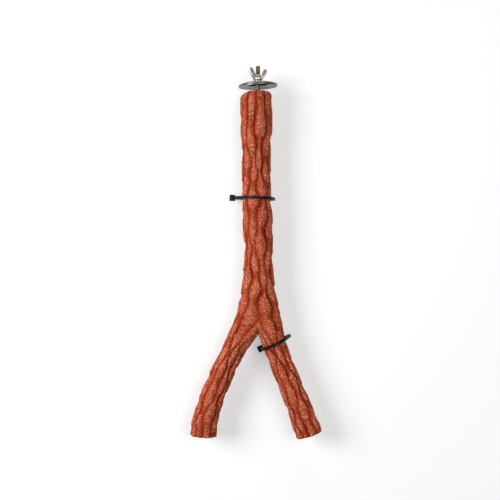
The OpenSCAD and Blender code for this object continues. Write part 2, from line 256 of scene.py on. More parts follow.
# Tones run from the floor of the grooves to the crests, and from the dullest grain to the brightest.
# The dark groove floors are partly the bark's own deeper colour and partly painted shade.
BARK_TONES = (0.0, "#600c00"), (0.3, "#902e15"), (0.6, "#a44527"), (1.0, "#ae5236")
BARK_PATCH, BARK_SCUFF, BARK_GRAIN, BARK_DOT = "#7d2a0f", "#b86247", "#f6b294", "#460b00"
GRAIN_TONES = (0.0, "#8a3822"), (0.45, "#b35d43"), (0.8, "#d28a72"), (1.0, "#f7cdbd")
# The second colour is painted shade: near black, put where the washers' undersides and the nut's neck lie in
# shadow and mirror dark things.
GRAIN_PATCH, SHADE_PAINT_DARK = "#9a4a35", "#1c1918"
ZINC, THREAD, STEEL = ("#efe8dd", "#a39c94"), ("#a8998c", "#4a423d"), ("#8f8c89", "#666361")
NYLON = "#070708", "#111214"


def make_speckle():
    """Fine grains scattered through a surface: a mask of them, and a height."""
    tree, t, given, out = new_tree(
        "Shader", "grain_speckle", [("Grain Size", "Float", 0.0008), ("Cover", "Float", 0.3)],
        [("Grains", "Float"), ("Height", "Float")])
    place = t.add("ShaderNodeTexCoord").outputs["Object"]
    per_metre = t.one_over(given["Grain Size"])
    cells = t.add("ShaderNodeTexVoronoi", {"Vector": place, "Scale": per_metre}, feature="F1")
    luck = t.add("ShaderNodeSeparateColor", {"Color": cells.outputs["Color"]})
    chosen = t.math("LESS_THAN", luck.outputs[0], given["Cover"])
    round_top = t.span(cells.outputs["Distance"], 0.15, 0.5, 1.0, 0.0, smooth=True)
    t.feed(t.times(chosen, round_top), out["Grains"])
    soft = t.noise(place, t.times(per_metre, 1.7), 3.0, 0.65)
    t.feed(t.plus(t.times(round_top, 0.6), soft), out["Height"])
    return tree


def make_wear():
    """Slow mottling and fine scuffs, as on handled or plated surfaces."""
    tree, t, given, out = new_tree(
        "Shader", "handled_wear",
        [("Patch Size", "Float", 0.006), ("Scuff Size", "Float", 0.0006), ("Stretch", "Vector", (1, 1, 1))],
        [("Patches", "Float"), ("Scuffs", "Float")])
    place = t.add("ShaderNodeTexCoord").outputs["Object"]
    drawn = t.stretched(place, given["Stretch"])
    t.feed(t.noise(place, t.one_over(given["Patch Size"]), 4.0, 0.55), out["Patches"])
    t.feed(t.noise(drawn, t.one_over(given["Scuff Size"]), 5.0, 0.6), out["Scuffs"])
    return tree


speckle_group = make_speckle()
wear_group = make_wear()


def new_material(name, **plain):
    material = bpy.data.materials.new(name)
    material.use_nodes = True
    t = Tree(material.node_tree)
    shader = material.node_tree.nodes["Principled BSDF"]
    for label, value in plain.items():
        shader.inputs[label.replace("_", " ")].default_value = value
    return material, t, shader


def speckle(t, size, cover):
    return t.add("ShaderNodeGroup", {"Grain Size": size, "Cover": cover}, node_tree=speckle_group).outputs


def wear(t, patch, scuff, stretch=(1, 1, 1)):
    values = {"Patch Size": patch, "Scuff Size": scuff, "Stretch": stretch}
    return t.add("ShaderNodeGroup", values, node_tree=wear_group).outputs


def raise_skin(t, shader, height, strength, distance):
    bump = t.add("ShaderNodeBump", {"Height": height, "Strength": strength, "Distance": distance})
    t.feed(bump.outputs[0], shader.inputs["Normal"])


def make_bark_material():
    material, t, shader = new_material("mineral_bark", Specular_IOR_Level=0.0)
    relief = t.painted("relief")
    grains, fine, worn = speckle(t, 0.001, 0.6), speckle(t, 0.0008, 0.4), wear(t, 0.009, 0.0011)
    # Dark at the groove floors, light at the crests: partly the bark's own colour, partly painted shade.
    tone = t.ramp(relief, BARK_TONES)
    tone = t.blend(tone, colour(BARK_PATCH), t.span(worn["Patches"], 0.46, 0.72, 0.0, 0.4))
    tone = t.blend(tone, colour(BARK_SCUFF), t.span(worn["Scuffs"], 0.52, 0.72, 0.0, 0.45))
    crest = t.span(relief, 0.2, 0.8, 0.1, 1.0)
    pale = t.blend(tone, colour(BARK_GRAIN), t.times(grains["Grains"], crest))
    dotted = t.blend(pale, colour(BARK_DOT), t.times(fine["Grains"], 0.75))
    t.feed(dotted, shader.inputs["Base Color"])
    t.feed(t.span(grains["Grains"], 0.0, 1.0, 0.85, 0.45), shader.inputs["Roughness"])
    raise_skin(t, shader, t.plus(grains["Height"], t.times(fine["Height"], 0.6)), 0.9, 0.00045)
    return material


def make_grain_material():
    material, t, shader = new_material("mineral_grains", Specular_IOR_Level=0.7)
    luck, worn = t.painted("grain_luck"), wear(t, 0.004, 0.0004)
    tone = t.ramp(luck, GRAIN_TONES)
    tone = t.blend(tone, colour(GRAIN_PATCH), t.span(worn["Patches"], 0.4, 0.8, 0.0, 0.5))
    t.feed(tone, shader.inputs["Base Color"])
    t.feed(t.span(luck, 0.0, 1.0, 0.6, 0.22), shader.inputs["Roughness"])
    return material


def make_metal(name, tones, rough, patch, scuff, depth, stretch=(1, 1, 1), shade_paint=None):
    """Worn metal; painted shade covers it as far as the mesh's painted-shade value says: a near-black colour
    standing in for shadow and dark reflections, where the metal stops shining.
    """
    material, t, shader = new_material(name, Metallic=1.0)
    worn, dust = wear(t, patch, scuff, stretch), speckle(t, 0.00035, 0.12)
    base, shade = map(colour, tones)
    tone = t.blend(base, shade, t.span(worn["Patches"], 0.35, 0.7, 0.0, 0.8))
    tone = t.blend(tone, shade, t.times(dust["Grains"], 0.35))
    if shade_paint:
        # Painted shade: the colour turns dark and the metal dull where the mesh marks shadow.
        under = t.painted("shade_paint")
        tone = t.blend(tone, colour(shade_paint), under)
        t.feed(t.minus(1.0, under), shader.inputs["Metallic"])
        shader.inputs["Specular IOR Level"].default_value = 0.0
    t.feed(tone, shader.inputs["Base Color"])
    t.feed(t.span(worn["Scuffs"], 0.3, 0.7, *rough), shader.inputs["Roughness"])
    raise_skin(t, shader, worn["Scuffs"], 0.4, depth)
    return material


def make_nylon():
    material, t, shader = new_material("black_nylon", Specular_IOR_Level=0.14)
    grain, worn = speckle(t, 0.00018, 0.5), wear(t, 0.003, 0.0003, (0.2, 0.2, 2.5))
    tone = t.blend(*map(colour, NYLON), t.span(worn["Patches"], 0.35, 0.7))
    t.feed(tone, shader.inputs["Base Color"])
    t.feed(t.span(worn["Scuffs"], 0.3, 0.7, 0.42, 0.58), shader.inputs["Roughness"])
    raise_skin(t, shader, grain["Height"], 0.25, 0.00004)
    return material


bark_material = make_bark_material()
grain_material = make_grain_material()
# The nut's zinc and the washers' steel carry painted shade where their meshes mark it.
plate_material = make_metal("zinc_plate", ZINC, (0.3, 0.44), 0.003, 0.0003, 0.00003, shade_paint=SHADE_PAINT_DARK)
thread_material = make_metal("zinc_thread", THREAD, (0.18, 0.34), 0.003, 0.0003, 0.00002)
washer_material = make_metal(
    "washer_steel", STEEL, (0.28, 0.46), 0.007, 0.0004, 0.00003, (1, 1, 0.3), SHADE_PAINT_DARK)
nylon_material = make_nylon()


# ---- branch --------------------------------------------------------------------------------

BRANCH_LEN, CROTCH_DEPTH, STEM_D = 286.5, 200.5, 24.6
LEG_D, LEG_END_D, LEFT_REACH, RIGHT_REACH = 19.4, 22.8, 45.3, 42.2
FORK_W, TOP_OFFSET, TOP_ROUND, TOP_SLANT, LEG_ROUND = 38.6, 1.4, 7, 0.35, 1.6
RIDGES, RIDGE_LEN, GROOVE_DEPTH, SHALLOW_SHARE, NECK_SHARE, JITTER = 10, 23, 1.9, 0.75, 0.5, 0.1

STEM_SHARES = [
    (0, 1.09), (0.17, 1.09), (0.21, 1.0), (0.28, 0.985), (0.38, 1.0), (0.45, 0.975), (0.52, 1.035),
    (0.58, 1.03), (0.64, 0.96), (0.68, 0.965), (0.74, 1.0), (0.8, 1.0), (1, 1.0)]
FLARE_SHARES = [(0.70, 0), (0.755, 0.09), (0.80, 0.24), (0.84, 0.42), (0.88, 0.62), (0.94, 1)]
LEAN_SHARES = [(0, -1), (0.38, -1), (0.47, -0.5), (0.55, -0.1), (0.64, 0.42), (0.72, 0.15), (0.94, 0.3)]
LEG_SHARES = [(0, 0.02), (0.3, 0), (0.55, 0.3), (0.75, 0.42), (0.93, 0.95), (1, 1)]
SPLIT_SHARE, THICKNESS_SHARE, DENT_SHARE, DENT_WIDTH = 0.937, 0.93, 0.15, 0.42
SPLIT_Z = -CROTCH_DEPTH * SPLIT_SHARE
DEPTH_WAVE = (0.37, 3, 0)
SWELL_SHARE, SWELL_START = 0.11, 0.1
SWAY_WAVES = [(0.29, 2, 0, 0.24), (0.47, -3, 50, 0.12)]
STRETCH_WAVES = [(0.21, 1, 20, 0.1), (0.35, 4, 140, 0.05)]
TOP_EXTRA, TOP_FADE, TOP_SMOOTH = 0.7, 1.1, 0.6
JOIN_SHARE, WAKE_SHARE, END_SHARE, STILL_SHARE = 0.36, 0.3, 0.15, 0.16
CONTROL_REACH = ((0.49, 0.951), (0.344, 0.77))
END_RISE = (1.8, 2.6)
LEG_START_SHARE, LEG_LENGTH_SHARE = 0.21, 1.06
# Points of the net across and along one ridge here, and the CAD's rows along one ridge.
POINTS_PER_RIDGE, STEPS_PER_RIDGE, RIDGE_ROWS = 18, 26, 6
TOP_RINGS, LEG_ROUND_ANGLES = 9, (30, 60, 90)
COLUMNS = RIDGES * POINTS_PER_RIDGE

# One drop of the bark, in shares of its length: how flat its dome is, its slanting point, its bent end.
DOME_SHARE, POINT_SLANT, POINT_LEN, END_BEND, END_START = 0.75, 0.25, 0.34, 0.14, 0.88
# Degrees between the lucky numbers of two columns.
JITTER_TURN = 137
LUMP_MIDDLE, LUMP_FADE = 0.62, 4.0
# Streaks: squeezed along the branch, cut where the noise lies low, and how much darker they look.
# Their darker colour is partly painted shade in the shallow cuts.
STREAK_STRETCH, STREAK_FULL, STREAK_NONE, STREAK_SHADE = 0.16, 0.4, 0.54, 0.14
# Grains: relief where they begin and where they are all there, the share in the grooves, and their sizes.
GRAINS_FROM, GRAINS_FULL, GROOVE_GRAINS, GRAIN_POWER, SMALLEST_GRAIN = 0.45, 0.8, 0.04, 1.6, 0.45


def ease(w):
    w = np.clip(w, 0, 1)
    return w * w * (3 - 2 * w)


def lerp(a, b, w):
    return a + (b - a) * w


def along(table, x):
    """Smoothly joined values of a table of shares."""
    x = np.asarray(x, float)
    value = np.full(x.shape, float(table[0][1]))
    for (x0, v0), (x1, v1) in zip(table, table[1:]):
        value = np.where(x > x0, lerp(v0, v1, ease((x - x0) / (x1 - x0))), value)
    return value


def waved(list_of_waves, turn, w):
    return sum(share * np.sin(TAU * per * w + k * turn + math.radians(start))
               for per, k, start, share in list_of_waves)


def warp_turn(turn, w):
    """Sway of the columns, and the swell of each ridge into its narrow neighbours."""
    swell = -SWELL_SHARE * np.cos(TAU * (w - SWELL_START)) * np.cos(RIDGES * turn / 2)
    return (waved(SWAY_WAVES, turn, w) + swell) * TAU / RIDGES


def whole_rows(ridges):
    """A length in ridges, rounded to the CAD's whole rows."""
    return round(ridges * RIDGE_ROWS) / RIDGE_ROWS


net_turn = np.arange(COLUMNS) * TAU / COLUMNS
stem_run = -SPLIT_Z - TOP_ROUND
stem_cells = whole_rows(stem_run / RIDGE_LEN - TOP_EXTRA)


def run_share(w):
    return w + TOP_EXTRA * (1 - np.exp(-w / TOP_FADE))


def stem_ring(depth, inset, w):
    still = lerp(1 - ease((depth / CROTCH_DEPTH - SPLIT_SHARE + STILL_SHARE) / STILL_SHARE), 1,
                 np.abs(np.sin(net_turn)))
    hold = ease(w) * still
    turn = net_turn + hold * warp_turn(net_turn, w)
    deep = depth + hold * waved(STRETCH_WAVES, net_turn, w) * RIDGE_LEN
    share = deep / CROTCH_DEPTH
    flare = along(FLARE_SHARES, share)
    round_r = STEM_D / 2 * along(STEM_SHARES, share)
    half_w = lerp(round_r, FORK_W / 2, flare) - inset * (1 + TOP_SLANT * np.sin(turn))
    half_t = lerp(round_r, STEM_D * THICKNESS_SHARE / 2, flare) - inset
    dent = 1 - DENT_SHARE * flare * np.exp(-(np.sin(turn) / DENT_WIDTH) ** 2)
    x = TOP_OFFSET * along(LEAN_SHARES, share) - half_w * np.sin(turn)
    fade = 0.0 if depth <= 0 else 1 - TOP_SMOOTH * inset / TOP_ROUND
    points = np.stack([x, -half_t * dent * np.cos(turn), -deep], axis=1)
    outward = np.stack([-np.sin(turn), -np.cos(turn), np.zeros(COLUMNS)], axis=1)
    return points, np.full(COLUMNS, w), np.full(COLUMNS, fade), outward


def bezier(p, w):
    w = np.asarray(w, float)[..., None]
    return (1 - w) ** 3 * p[0] + 3 * w * (1 - w) ** 2 * p[1] + 3 * w * w * (1 - w) * p[2] + w ** 3 * p[3]


def bezier_slope(p, w):
    w = np.asarray(w, float)[..., None]
    return 3 * (1 - w) ** 2 * (p[1] - p[0]) + 6 * w * (1 - w) * (p[2] - p[1]) + 3 * w * w * (p[3] - p[2])


def leg_line(side):
    k = 0 if side < 0 else 1
    reach = LEFT_REACH if side < 0 else RIGHT_REACH
    end_z = -BRANCH_LEN + END_RISE[k]
    return np.array([
        [side * FORK_W * LEG_START_SHARE, SPLIT_Z],
        [side * reach * CONTROL_REACH[k][0], lerp(SPLIT_Z, end_z, 1 / 3)],
        [side * reach * CONTROL_REACH[k][1], lerp(SPLIT_Z, end_z, 2 / 3)],
        [side * reach, end_z]])


leg_run = BRANCH_LEN + SPLIT_Z
leg_cells = whole_rows(LEG_LENGTH_SHARE * leg_run / RIDGE_LEN)


def leg_ring(line, side, first, t, inset):
    own = net_turn <= math.pi + 1e-9 if side < 0 else (net_turn < 1e-9) | (net_turn >= math.pi - 1e-9)
    w = stem_cells + t * leg_cells
    join = math.sin(math.pi / 2 * min(1, t / JOIN_SHARE))
    wake = float(ease(t / WAKE_SHARE))
    across = np.abs(np.sin(net_turn))
    hold = float(ease((1 - t) / END_SHARE)) * np.where(own, lerp(wake, 1, across), wake)
    turn = net_turn + hold * warp_turn(net_turn, w)
    s = t + hold * waved(STRETCH_WAVES, net_turn, w) / leg_cells
    mid, slope = bezier(line, s), bezier_slope(line, s)
    way = slope / np.linalg.norm(slope, axis=1)[:, None]
    r = lerp(LEG_D, LEG_END_D, along(LEG_SHARES, s)) / 2 - inset
    outward = np.stack([np.sin(turn) * way[:, 1], -np.cos(turn), -np.sin(turn) * way[:, 0]], axis=1)
    circle = np.stack([mid[:, 0], np.zeros(COLUMNS), mid[:, 1]], axis=1) + r[:, None] * outward
    move = bezier(line, t) - line[0]
    start = first + np.array([move[0], 0, move[1]])
    fade = np.where(own, 1.0, lerp(1 - across, 1, join))
    outward = outward * join if join < 1 else outward
    return lerp(start, circle, join), np.full(COLUMNS, w), fade, outward


def branch_mesh():
    """Smooth skin of the branch, with each point's place on the bark's net kept beside it."""
    rings = []
    for j in range(TOP_RINGS):
        q = math.pi / 2 * j / TOP_RINGS
        depth = TOP_ROUND * (1 - math.cos(q))
        rings.append(stem_ring(depth, TOP_ROUND * (1 - math.sin(q)), (depth - TOP_ROUND) / RIDGE_LEN))
    count = round(stem_cells * STEPS_PER_RIDGE)
    for j in range(count + 1):
        w = stem_cells * j / count
        depth = TOP_ROUND + stem_run * run_share(w) / run_share(stem_cells)
        rings.append(stem_ring(depth, 0, w))
    split, half = rings[-1][0], COLUMNS // 2
    k = np.arange(COLUMNS)
    q = TAU * k / COLUMNS
    arch = np.stack([
        lerp(split[0, 0], split[half, 0], k / half),
        lerp(split[0, 1], split[half, 1], (1 - np.cos(q)) / 2),
        SPLIT_Z - (CROTCH_DEPTH + SPLIT_Z) * np.sin(q)], axis=1)
    points, net_w, fade, outward = ([v for ring in rings for v in ring[part]] for part in range(4))
    turns = list(np.tile(net_turn, len(rings)))
    arch_start = len(points)
    last = arch_start - COLUMNS
    kept = points, net_w, fade, outward, turns
    faces = []

    def add_point(place, w, share, turn):
        for values, value in zip(kept, (place, w, share, (0, 0, 0), turn)):
            values.append(value)

    def band(upper, lower):
        for i in range(COLUMNS):
            n = (i + 1) % COLUMNS
            faces.append((upper[i], upper[n], lower[n], lower[i]))

    def numbers(start):
        return [start + i for i in range(COLUMNS)]

    def cap(mid, ring, flip):
        tip = len(points)
        add_point(mid, net_w[ring[0]], 0.0, 0.0)
        for i in range(COLUMNS):
            n = (i + 1) % COLUMNS
            faces.append((tip, ring[i], ring[n]) if flip else (tip, ring[n], ring[i]))

    for n in range(1, half):
        add_point(arch[n], stem_cells, 1 - abs(math.sin(q[n])), q[n])
    for r in range(len(rings) - 1):
        band(numbers(r * COLUMNS), numbers((r + 1) * COLUMNS))
    cap([np.mean(rings[0][0][:, 0]), 0, 0], numbers(0), False)
    for side in (-1, 1):
        line = leg_line(side)
        if side < 0:
            open_ring = [last + i if i <= half else arch_start + COLUMNS - i - 1 for i in range(COLUMNS)]
        else:
            open_ring = [last + i if i == 0 or i >= half else arch_start + i - 1 for i in range(COLUMNS)]
        first = np.array([points[i] for i in open_ring])
        count = round(leg_cells * STEPS_PER_RIDGE)
        stations = [((1 - LEG_ROUND / leg_run) * j / count, 0) for j in range(1, count + 1)]
        for a in map(math.radians, LEG_ROUND_ANGLES):
            stations.append((1 - (1 - math.sin(a)) * LEG_ROUND / leg_run, LEG_ROUND * (1 - math.cos(a))))
        upper = open_ring
        for t, inset in stations:
            lower = numbers(len(points))
            for values, more in zip(kept, (*leg_ring(line, side, first, t, inset), net_turn)):
                values.extend(more)
            band(upper, lower)
            upper = lower
        cap(np.mean([points[i] for i in upper], axis=0), upper, True)
    piece = make_piece("branch_skin", [list(map(float, p)) for p in points], faces)
    for name, values in (("net_turn", turns), ("net_w", net_w), ("fade", fade)):
        keep_values(piece, name, values)
    layer = piece.data.attributes.new("outward", "FLOAT_VECTOR", "POINT")
    layer.data.foreach_set("vector", np.array(outward, dtype=np.float32).ravel())
    return piece


def make_bark_tree():
    """Bark relief: columns of staggered drops, each rising from a point to a blunt lower end."""
    tree, t, given, out = new_geometry_tree("bark_relief", [
        ("Columns", "Float", float(RIDGES)), ("Groove Depth", "Float", GROOVE_DEPTH * MM),
        ("Shallow Share", "Float", SHALLOW_SHARE), ("Neck Share", "Float", NECK_SHARE),
        ("Jitter", "Float", JITTER), ("Grain Depth", "Float", 0.0005), ("Grain Size", "Float", 0.0013),
        ("Streak Depth", "Float", 0.00035), ("Streak Width", "Float", 0.0019)])
    turn, w, fade = t.kept("net_turn"), t.kept("net_w"), t.kept("fade")
    u = t.plus(t.math("DIVIDE", t.times(given["Columns"], turn), TAU), 0.5)
    column = t.math("FLOOR", t.plus(u, 0.5))
    across = t.minus(u, column)
    side = t.math("ABSOLUTE", t.times(across, 2.0))
    luck = t.math("SINE", t.times(t.math("MODULO", column, given["Columns"]), math.radians(JITTER_TURN)))
    stagger = t.times(t.math("MODULO", column, 2.0), 0.5)
    phase = t.plus(stagger, t.times(given["Jitter"], luck))
    place = t.math("FRACT", t.plus(t.plus(w, phase), 8.0))
    dome = t.math("POWER", t.math("ABSOLUTE", t.math("COSINE", t.times(across, math.pi))), DOME_SHARE)
    start = t.span(t.minus(place, t.times(side, POINT_SLANT)), 0.0, POINT_LEN, smooth=True)
    end_place = t.plus(place, t.times(t.times(side, side), END_BEND))
    finish = t.span(end_place, END_START, 1.0, 1.0, 0.0, smooth=True)
    body = t.mix(given["Neck Share"], 1.0, t.times(start, finish))
    per, k, first = DEPTH_WAVE
    angle = t.plus(t.times(w, TAU * per), t.times(turn, float(k)))
    part = t.times(t.plus(t.math("SINE", t.plus(angle, math.radians(first))), 1.0), 0.5)
    cut = t.times(t.minus(1.0, t.times(dome, body)), t.mix(given["Shallow Share"], 1.0, part))
    cut = t.times(cut, fade)
    here = t.add("GeometryNodeInputPosition").outputs[0]
    lumps = t.noise(here, t.one_over(given["Grain Size"]), 2.0, 0.6)
    rough = t.times(t.minus(lumps, LUMP_MIDDLE), given["Grain Depth"])
    rough = t.times(rough, t.math("MINIMUM", 1.0, t.times(fade, LUMP_FADE)))
    drawn = t.stretched(here, (1, 1, STREAK_STRETCH))
    streaks = t.noise(drawn, t.one_over(given["Streak Width"]), 2.0, 0.5)
    streak = t.times(t.span(streaks, STREAK_FULL, STREAK_NONE, 1.0, 0.0, smooth=True), fade)
    lift = t.minus(rough, t.times(cut, given["Groove Depth"]))
    lift = t.minus(lift, t.times(streak, given["Streak Depth"]))
    shift = t.add("ShaderNodeVectorMath", {0: t.kept("outward", "FLOAT_VECTOR"), "Scale": lift},
                  operation="SCALE").outputs[0]
    # The streaks lower the relief value, so the colour darkens in them too: partly painted shade.
    relief = t.minus(t.minus(1.0, cut), t.times(streak, STREAK_SHADE))
    moved = t.add("GeometryNodeSetPosition", {
        "Geometry": t.keep(given["Geometry"], "relief", relief), "Offset": shift})
    t.hand_out(t.real(moved.outputs[0]), given, out)
    return tree


def make_grain_tree():
    """Small mineral grains set half into the skin that the modifier is given."""
    tree, t, given, out = new_geometry_tree("mineral_grains", [
        ("Grains per Square Metre", "Float", 380000.0), ("Grain Radius", "Float", 0.00042),
        ("Seed", "Int", 7)])
    share = t.span(t.kept("relief"), GRAINS_FROM, GRAINS_FULL, GROOVE_GRAINS, 1.0)
    crowded = t.times(given["Grains per Square Metre"], share)
    spread = t.add("GeometryNodeDistributePointsOnFaces", {
        "Mesh": given["Geometry"], "Density": crowded, "Seed": given["Seed"]},
        distribute_method="RANDOM")
    luck = t.add("FunctionNodeRandomValue", {"Seed": given["Seed"]}, data_type="FLOAT").outputs[1]
    ball = t.add("GeometryNodeMeshIcoSphere", {"Radius": given["Grain Radius"], "Subdivisions": 1})
    turned = t.add("FunctionNodeRandomValue", {"Seed": t.plus(given["Seed"], 1.0)}, data_type="FLOAT_VECTOR")
    turned.inputs[0].default_value = (0, 0, 0)
    turned.inputs[1].default_value = (TAU, TAU, TAU)
    placed = t.add("GeometryNodeInstanceOnPoints", {
        "Points": t.keep(spread.outputs["Points"], "grain_luck", luck), "Instance": ball.outputs[0],
        "Rotation": turned.outputs[0],
        "Scale": t.mix(SMALLEST_GRAIN, 1.0, t.math("POWER", luck, GRAIN_POWER))})
    flat = t.add("GeometryNodeSetShadeSmooth", {
        "Geometry": t.real(placed.outputs[0]), "Shade Smooth": False})
    t.hand_out(flat.outputs[0], given, out)
    return tree


def build_branch():
    skin = branch_mesh()
    grow(skin, make_bark_tree(), bark_material)
    branch = finished(skin, "bark_branch")
    seed_bed = link("grain_bed", branch.data.copy())
    grow(seed_bed, make_grain_tree(), grain_material)
    grains = finished(seed_bed, "bark_grains")
    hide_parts("branch")
    return branch, grains


# ---- stud ----------------------------------------------------------------------------------

STUD_D, STUD_OUT, STUD_IN, HEAD_FLATS, HEAD_H, PITCH = 4.0, 20.8, 25.0, 7.0, 2.8, 0.7
THREAD_DEPTH, CHAMFER, THREAD_RINGS, THREAD_COLUMNS, HEAD_SIDES = 0.36, 0.5, 520, 40, 6
CREST_END, VALLEY_START = 0.12, 0.86


def make_thread_tree():
    """Threaded rod along Z: its radius follows the turn and the height together."""
    tree, t, given, out = new_geometry_tree("screw_thread", [
        ("Outside Radius", "Float", STUD_D / 2 * MM), ("Thread Depth", "Float", THREAD_DEPTH * MM),
        ("Pitch", "Float", PITCH * MM), ("Length", "Float", (STUD_OUT + STUD_IN) * MM),
        ("Foot", "Float", -STUD_IN * MM), ("Chamfer", "Float", CHAMFER * MM),
        ("Segments", "Int", THREAD_RINGS)])
    rod = t.add("GeometryNodeMeshCylinder", {
        "Vertices": THREAD_COLUMNS, "Side Segments": given["Segments"], "Radius": 1.0,
        "Depth": given["Length"]},
        fill_type="TRIANGLE_FAN")
    x, y, z = t.add("ShaderNodeSeparateXYZ", {0: t.add("GeometryNodeInputPosition").outputs[0]}).outputs
    around = t.math("DIVIDE", t.math("ARCTAN2", y, x), TAU)
    step = t.math("FRACT", t.minus(t.math("DIVIDE", z, given["Pitch"]), around))
    valley = t.math("ABSOLUTE", t.minus(t.times(step, 2.0), 1.0))
    half = t.times(given["Length"], 0.5)
    to_end = t.minus(half, t.math("ABSOLUTE", z))
    cut = t.times(t.span(valley, CREST_END, VALLEY_START), given["Thread Depth"])
    crest = t.minus(given["Outside Radius"], cut)
    tapered = t.plus(t.minus(given["Outside Radius"], given["Chamfer"]), to_end)
    radius = t.math("MINIMUM", crest, tapered)
    spot = t.add("ShaderNodeCombineXYZ", {
        0: t.times(x, radius), 1: t.times(y, radius), 2: t.plus(z, t.plus(half, given["Foot"]))})
    moved = t.add("GeometryNodeSetPosition", {"Geometry": rod.outputs[0], "Position": spot.outputs[0]})
    smooth = t.add("GeometryNodeSetShadeSmooth", {"Geometry": moved.outputs[0], "Shade Smooth": True})
    t.hand_out(t.real(smooth.outputs[0]), given, out)
    return tree


def build_stud():
    seed = make_piece("rod_seed", [], [])
    grow(seed, make_thread_tree(), thread_material)
    rod = finished(seed, "threaded_stud")
    corner_r = HEAD_FLATS / 2 / math.cos(math.pi / HEAD_SIDES) * MM
    turn = Matrix.Rotation(math.radians(WING_TURN), 3, "Z")
    with edited(rod.data) as bm:
        verts = bmesh.ops.create_cone(
            bm, cap_ends=True, segments=HEAD_SIDES, radius1=corner_r, radius2=corner_r,
            depth=HEAD_H * MM)["verts"]
        bmesh.ops.rotate(bm, verts=verts, matrix=turn, cent=(0, 0, 0))
        bmesh.ops.translate(bm, verts=verts, vec=(0, 0, -(STUD_IN + HEAD_H / 2) * MM))
    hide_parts("stud_bolt")
    return rod


# ---- washers -------------------------------------------------------------------------------

WASHER_D, WASHER_T, DISH_DEPTH, SEAT_D, HOLE_D, WIRE_GAP, TILT = 32, 0.8, 2.2, 13.0, 4.7, 3.5, 2.4
LOOSE_GAP = 0.3
WASHER_EDGE, DISH_STEPS = WASHER_T * 0.32, 26
# Round a plate's edge: -1 on the underside and 1 on the upper side, with the angle in radians.
EDGE_STOPS = [(-1, 1.2), (-1, 0.6), (-1, 0.0), (1, 0.0), (1, 0.6), (1, 1.2)]
# Painted shade on the underside: the radius where it begins to fade, and over what width.
# It stands in for the shadow round the hole and the dark things that the washer mirrors.
PAINTED_SHADE_R, PAINTED_SHADE_FADE = 7.8, 2.0


def lathe(name, outline, turns=120):
    """Closed piece made by turning a closed outline of (radius, height) round the Z axis."""
    points = [(r * math.cos(a), r * math.sin(a), z)
              for a in (TAU * k / turns for k in range(turns)) for r, z in outline]
    faces = [(a, d, c, b) for a, b, c, d in tube_faces(turns, len(outline), True)]
    return make_piece(name, points, faces)


def build_washer(name, node, rim_z):
    def dish(r):
        w = min(1, max(0, (r - SEAT_D / 2) / (WASHER_D / 2 - SEAT_D / 2)))
        return DISH_DEPTH * (1 - w * w)

    def rim(radius, way, height, stops):
        """Rounded edge of the plate; way is -1 where the plate lies inside it, 1 where outside."""
        return [(radius + way * WASHER_EDGE * (1 - math.cos(a)),
                 height + WASHER_T / 2 + (WASHER_T / 2 - WASHER_EDGE) * s + WASHER_EDGE * math.sin(a) * s)
                for s, a in stops]

    # Painted shade: full near the hole on the underside, fading outward.
    def mark(place):
        r, z = math.hypot(place.x, place.y) / MM, place.z / MM
        return float(1 - ease((r - PAINTED_SHADE_R) / PAINTED_SHADE_FADE)) if z < dish(r) + WASHER_T / 2 else 0.0

    radii = [HOLE_D / 2 + WASHER_EDGE]
    radii += [lerp(SEAT_D / 2, WASHER_D / 2 - WASHER_EDGE, k / DISH_STEPS) for k in range(DISH_STEPS + 1)]
    under = [(r, dish(r)) for r in radii]
    over = [(r, dish(r) + WASHER_T) for r in reversed(radii)]
    outer = rim(WASHER_D / 2, -1, dish(WASHER_D / 2), EDGE_STOPS)
    inner = rim(HOLE_D / 2, 1, DISH_DEPTH, EDGE_STOPS[::-1])
    piece = lathe(name, under + outer + over + inner)
    face_out(piece)
    # Keeps the painted shade in the mesh for the washer's material.
    keep_values(piece, "shade_paint", [mark(vertex.co) for vertex in piece.data.vertices])
    place_mesh(piece, Matrix.Translation((0, 0, (rim_z + DISH_DEPTH) * MM))
               @ Matrix.Rotation(-math.radians(TILT), 4, "Y") @ Matrix.Translation((0, 0, -DISH_DEPTH * MM)))
    piece.data.materials.append(washer_material)
    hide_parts(node)
    return piece


# ---- wing nut ------------------------------------------------------------------------------

HUB_D, HUB_H, NECK_D, NECK_H, WING_TURN = 8.0, 5.2, 5.8, 1.2, 42
NUT_SEAT_Z = WIRE_GAP + WASHER_T + LOOSE_GAP + DISH_DEPTH + WASHER_T + LOOSE_GAP
HUB_EDGE, HUB_FOOT_H, HUB_WAIST_R, HUB_WAIST_H = 0.5, HUB_H * 0.55, HUB_D * 0.47, HUB_H * 0.7
HUB_TOP_R, HUB_TURNS = HUB_D * 0.43, 64
NUT_VOXEL, SOFTEN_SHARE, SOFTEN_TIMES = 0.00016, 0.5, 6
BORE_PLAY, BORE_TURNS, BORE_OVER = 0.05, 48, 2
# Painted shade on the neck: how strong it is, and how far it reaches up past the neck.
# It stands in for the shadow and dark reflections in the gap under the hub.
NECK_PAINTED_SHADE, NECK_PAINTED_SHADE_RISE = 0.55, 0.1

# Stations along one wing: (x, z) of its middle, half width and half thickness.
WING_PATH = [(0.6, 3.5), (2.6, 3.75), (4.1, 4.45), (5.2, 5.35), (6.15, 6.6), (7.0, 7.9),
             (7.85, 9.2), (8.3, 9.9)]
WING_HALF_W = [2.2, 2.4, 2.25, 2.05, 2.0, 2.03, 2.05, 1.8]
WING_HALF_T = [1.6, 1.6, 1.45, 1.32, 1.22, 1.14, 1.08, 1.0]
WING_STEPS, SECTION_POINTS, WIDE_POWER, FLAT_POWER = 6, 20, 0.62, 0.45
TIP_ANGLES, TIP_LENGTH = (30, 55, 75), 0.8


